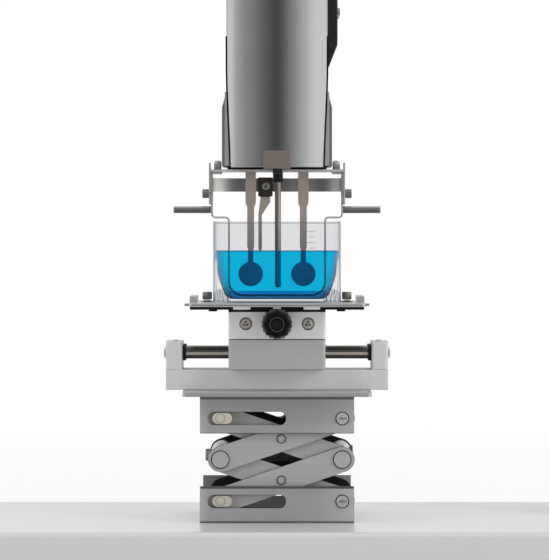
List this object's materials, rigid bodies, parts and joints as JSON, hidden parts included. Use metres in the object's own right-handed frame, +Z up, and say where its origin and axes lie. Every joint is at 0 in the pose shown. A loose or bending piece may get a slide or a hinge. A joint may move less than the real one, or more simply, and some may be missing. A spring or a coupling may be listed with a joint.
{
  "type": "rheometer",
  "caption": "Bench rheometer: silver measuring head with sensor plates and temperature probe over a clear cup, on a two-axis stage, scissor jack and column stand.",
  "frame": {"origin": "middle of the base plate's outline, on the floor", "axes": "+X right, +Y back, +Z up, seen from the front of the instrument"},
  "size_m": [0.4, 0.19, 0.497],
  "materials": {
    "enamel": "pale satin enamel",
    "foot_black": "moulded foot on a threaded shank",
    "column_metal": "satin anodised extrusion",
    "jack_sheet": "satin anodised sheet",
    "pin_steel": "turned steel",
    "arm_steel": "brushed sheet steel",
    "screw_steel": "turned steel",
    "plate_metal": "milled plate",
    "stage_metal": "satin anodised bar",
    "carriage_metal": "satin anodised block",
    "block_metal": "satin anodised block",
    "rod_chrome": "ground and hard chromed",
    "knob_black": "moulded",
    "tray_black": "moulded",
    "table_steel": "brushed plate",
    "thumb_steel": "knurled",
    "thumb_dark": "knurled and blackened",
    "cup_clear": "clear moulded plastic",
    "guard_steel": "bright strip",
    "band_steel": "brushed strip",
    "boss_black": "moulded",
    "probe_steel": "drawn tube",
    "sensor_metal": "warm grey plate",
    "spring_steel": "blue-grey spring strip",
    "chassis_black": "black anodised",
    "coil_brown": "wound coil block",
    "board_green": "printed board",
    "housing_silver": "satin silver",
    "cover_silver": "fine vertical brushing",
    "tab_taupe": "warm grey plate",
    "bracket_black": "black powder coat",
    "arm_enamel": "pale satin enamel"
  },
  "bodies": {
    "stand": {"base_plate": "enamel", "column": "column_metal", "jack_lower_frame": "jack_sheet", "jack_lower_pivot": "pin_steel"},
    "foot_lf": {"foot_left_front": "foot_black"},
    "foot_lr": {"foot_left_rear": "foot_black"},
    "foot_rf": {"foot_right_front": "foot_black"},
    "foot_rr": {"foot_right_rear": "foot_black"},
    "lower_inner": {"lower_inner_arms": "arm_steel"},
    "lower_outer": {"lower_outer_arms": "arm_steel"},
    "upper_outer": {"upper_outer_arms": "arm_steel"},
    "upper_inner": {"upper_inner_arms": "arm_steel"},
    "nut": {"nut_bar": "pin_steel"},
    "bearing": {"bearing_bar": "pin_steel"},
    "jack_screw": {"jack_lead_screw": "screw_steel"},
    "jack_top": {"jack_top_frame": "jack_sheet", "jack_upper_pivot": "pin_steel", "adapter_plate": "plate_metal", "stage_bar": "stage_metal", "x_end_block_left": "stage_metal", "x_end_block_right": "stage_metal", "x_rod_front": "rod_chrome", "x_rod_rear": "rod_chrome"},
    "x_slider": {"x_carriage": "carriage_metal"},
    "table": {"y_front_block": "block_metal", "y_rear_block": "block_metal", "y_rod_left": "rod_chrome", "y_rod_right": "rod_chrome", "table_tray": "tray_black", "table_plate": "table_steel", "cup": "cup_clear"},
    "y_drive": {"y_lead_screw": "screw_steel", "y_knob": "knob_black"},
    "table_screw_l": {"table_screw_left": "thumb_steel"},
    "table_screw_r": {"table_screw_right": "thumb_steel"},
    "head": {"column_slider": "arm_enamel", "head_arm": "arm_enamel", "head_bracket": "bracket_black", "head_front_cover": "cover_silver", "head_rear_housing": "housing_silver", "chassis": "chassis_black", "drive_unit": "coil_brown", "circuit_board": "board_green", "frame_plate": "guard_steel", "protector": "guard_steel", "back_band": "band_steel", "level_gauge": "guard_steel", "probe_boss": "boss_black", "probe_tube": "probe_steel", "front_tab": "tab_taupe"},
    "lift": {"lift_knob": "knob_black"},
    "lock": {"lock_knob": "knob_black"},
    "side_screw_l": {"side_screw_left": "thumb_steel"},
    "side_screw_r": {"side_screw_right": "thumb_steel"},
    "frame_screw_l": {"frame_screw_left": "thumb_steel"},
    "frame_screw_r": {"frame_screw_right": "thumb_dark"},
    "sensor_l": {"paddle_left": "sensor_metal", "spring_left": "spring_steel"},
    "sensor_r": {"paddle_right": "sensor_metal", "spring_right": "spring_steel"}
  },
  "joints": [
    {"name": "jack_fold", "type": "hinge", "parent": "stand", "child": "lower_inner", "pos_m": [0.0347, 0, 0.0464], "axis": [0, 1, 0], "range_deg": [-6.4, 0.6]},
    {"name": "jack_lower_cross", "type": "hinge", "parent": "lower_inner", "child": "lower_outer", "pos_m": [0.00227, 0, 0.05742], "axis": [0, 1, 0], "range_deg": [-1.5, 13.1]},
    {"name": "jack_nut_turn", "type": "hinge", "parent": "lower_inner", "child": "nut", "pos_m": [-0.03016, 0, 0.06844], "axis": [0, 1, 0], "range_deg": [-0.9, 6.7]},
    {"name": "jack_left_joint", "type": "hinge", "parent": "lower_inner", "child": "upper_outer", "pos_m": [-0.03016, 0, 0.06844], "axis": [0, 1, 0], "range_deg": [-1.5, 13.1]},
    {"name": "jack_bearing_turn", "type": "hinge", "parent": "lower_outer", "child": "bearing", "pos_m": [0.0347, 0, 0.06844], "axis": [0, 1, 0], "range_deg": [-6.7, 0.9]},
    {"name": "jack_upper_cross", "type": "hinge", "parent": "upper_outer", "child": "upper_inner", "pos_m": [0.00227, 0, 0.07946], "axis": [0, 1, 0], "range_deg": [-13.1, 1.5]},
    {"name": "jack_top_joint", "type": "hinge", "parent": "upper_outer", "child": "jack_top", "pos_m": [0.0347, 0, 0.09048], "axis": [0, 1, 0], "range_deg": [-6.7, 0.9]},
    {"name": "jack_screw_turn", "type": "hinge", "parent": "bearing", "child": "jack_screw", "pos_m": [0.0347, 0, 0.06844], "axis": [1, 0, 0], "range_deg": [-40, 375]},
    {"name": "x_slide", "type": "slide", "parent": "jack_top", "child": "x_slider", "axis": [1, 0, 0], "range_m": [-0.0007, 0.0015]},
    {"name": "y_slide", "type": "slide", "parent": "x_slider", "child": "table", "axis": [0, 1, 0], "range_m": [-0.006, 0.006]},
    {"name": "y_knob_turn", "type": "hinge", "parent": "table", "child": "y_drive", "pos_m": [0, -0.03, 0.14038], "axis": [0, 1, 0], "range_deg": [-725, 725]},
    {"name": "table_screw_left_turn", "type": "hinge", "parent": "table", "child": "table_screw_l", "pos_m": [-0.0379, 0, 0.15158], "axis": [0, 0, 1], "range_deg": [-180, 180]},
    {"name": "table_screw_right_turn", "type": "hinge", "parent": "table", "child": "table_screw_r", "pos_m": [0.0379, 0, 0.15158], "axis": [0, 0, 1], "range_deg": [-180, 180]},
    {"name": "head_lift", "type": "slide", "parent": "stand", "child": "head", "axis": [0, 0, 1], "range_m": [0, 0.09]},
    {"name": "lift_knob_turn", "type": "hinge", "parent": "head", "child": "lift", "pos_m": [0.1457, 0, 0.36478], "axis": [0, 1, 0], "range_deg": [-3, 575]},
    {"name": "lock_knob_turn", "type": "hinge", "parent": "head", "child": "lock", "pos_m": [0.175, 0, 0.34578], "axis": [0, 1, 0], "range_deg": [-180, 180]},
    {"name": "side_screw_left_turn", "type": "hinge", "parent": "head", "child": "side_screw_l", "pos_m": [-0.038, 0, 0.21038], "axis": [1, 0, 0], "range_deg": [-180, 180]},
    {"name": "side_screw_right_turn", "type": "hinge", "parent": "head", "child": "side_screw_r", "pos_m": [0.038, 0, 0.21038], "axis": [1, 0, 0], "range_deg": [-180, 180]},
    {"name": "frame_screw_left_turn", "type": "hinge", "parent": "head", "child": "frame_screw_l", "pos_m": [-0.0322, 0, 0.22318], "axis": [0, 0, 1], "range_deg": [-180, 180]},
    {"name": "frame_screw_right_turn", "type": "hinge", "parent": "head", "child": "frame_screw_r", "pos_m": [0.0322, 0, 0.22318], "axis": [0, 0, 1], "range_deg": [-180, 180]},
    {"name": "sensor_left_swing", "type": "hinge", "parent": "head", "child": "sensor_l", "pos_m": [-0.0143, 0.0039, 0.30388], "axis": [0, 1, 0], "range_deg": [-0.15, 0.15], "stiffness_Nm_per_rad": 3},
    {"name": "sensor_right_swing", "type": "hinge", "parent": "head", "child": "sensor_r", "pos_m": [0.0143, 0.0039, 0.30388], "axis": [0, 1, 0], "range_deg": [-0.15, 0.15], "stiffness_Nm_per_rad": 3},
    {"name": "foot_lf_turn", "type": "hinge", "parent": "stand", "child": "foot_lf", "pos_m": [-0.178, -0.073, 0.005], "axis": [0, 0, 1], "range_deg": [-180, 180]},
    {"name": "foot_lr_turn", "type": "hinge", "parent": "stand", "child": "foot_lr", "pos_m": [-0.178, 0.073, 0.005], "axis": [0, 0, 1], "range_deg": [-180, 180]},
    {"name": "foot_rf_turn", "type": "hinge", "parent": "stand", "child": "foot_rf", "pos_m": [0.178, -0.073, 0.005], "axis": [0, 0, 1], "range_deg": [-180, 180]},
    {"name": "foot_rr_turn", "type": "hinge", "parent": "stand", "child": "foot_rr", "pos_m": [0.178, 0.073, 0.005], "axis": [0, 0, 1], "range_deg": [-180, 180]}
  ],
  "couplings": [
    {"joint": "jack_lower_cross", "follows": "jack_fold", "ratio": -2},
    {"joint": "jack_nut_turn", "follows": "jack_fold", "ratio": -1},
    {"joint": "jack_left_joint", "follows": "jack_fold", "ratio": -2},
    {"joint": "jack_bearing_turn", "follows": "jack_fold", "ratio": 1},
    {"joint": "jack_upper_cross", "follows": "jack_fold", "ratio": 2},
    {"joint": "jack_top_joint", "follows": "jack_fold", "ratio": 1},
    {"joint": "jack_screw_turn", "follows": "jack_fold", "ratio": -57.7},
    {"joint": "y_knob_turn", "follows": "y_slide", "rad_per_m": 1570.8},
    {"joint": "lift_knob_turn", "follows": "head_lift", "rad_per_m": 109.29},
    {"joint": "sensor_right_swing", "follows": "sensor_left_swing", "ratio": -1}
  ]
}
